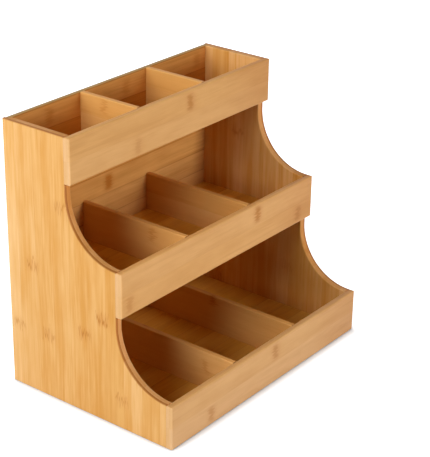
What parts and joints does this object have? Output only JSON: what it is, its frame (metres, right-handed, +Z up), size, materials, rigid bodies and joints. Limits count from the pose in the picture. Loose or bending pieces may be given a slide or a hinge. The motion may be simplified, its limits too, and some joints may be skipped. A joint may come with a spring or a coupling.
{
  "type": "tea bag organizer",
  "caption": "Stepped bamboo countertop organizer with scalloped sides and tiers of open bins for wrapped tea bags, rising towards a flat back.",
  "frame": {"origin": "middle of the footprint, on the surface that the organizer stands on", "axes": "+X to the right as seen by someone facing the open front, +Y towards the back panel, +Z up"},
  "size_m": [0.305, 0.204, 0.278],
  "materials": {
    "side_bamboo": "satin clear lacquer on vertical-grain laminated bamboo",
    "front_bamboo": "satin clear lacquer on horizontal-grain laminated bamboo",
    "back_bamboo": "satin clear lacquer on laminated bamboo strips",
    "floor_bamboo": "satin clear lacquer on laminated bamboo strips",
    "divider_bamboo": "satin clear lacquer on horizontal-grain laminated bamboo",
    "dowel_wood": "plain unfinished hardwood, hidden"
  },
  "bodies": {
    "root": {"left_side_panel": "side_bamboo", "right_side_panel": "side_bamboo", "back_panel": "back_bamboo", "bottom_front_panel": "front_bamboo", "middle_front_panel": "front_bamboo", "top_front_panel": "front_bamboo", "base_panel": "floor_bamboo", "middle_shelf": "floor_bamboo", "top_shelf": "floor_bamboo", "bottom_divider_left": "divider_bamboo", "bottom_divider_right": "divider_bamboo", "middle_divider_left": "divider_bamboo", "middle_divider_right": "divider_bamboo", "top_divider_left": "divider_bamboo", "top_divider_right": "divider_bamboo", "bottom_dowel_left_lower": "dowel_wood", "bottom_dowel_left_upper": "dowel_wood", "bottom_dowel_right_lower": "dowel_wood", "bottom_dowel_right_upper": "dowel_wood", "middle_dowel_left_lower": "dowel_wood", "middle_dowel_left_upper": "dowel_wood", "middle_dowel_right_lower": "dowel_wood", "middle_dowel_right_upper": "dowel_wood", "top_dowel_left_lower": "dowel_wood", "top_dowel_left_upper": "dowel_wood", "top_dowel_right_lower": "dowel_wood", "top_dowel_right_upper": "dowel_wood"}
  },
  "joints": []
}
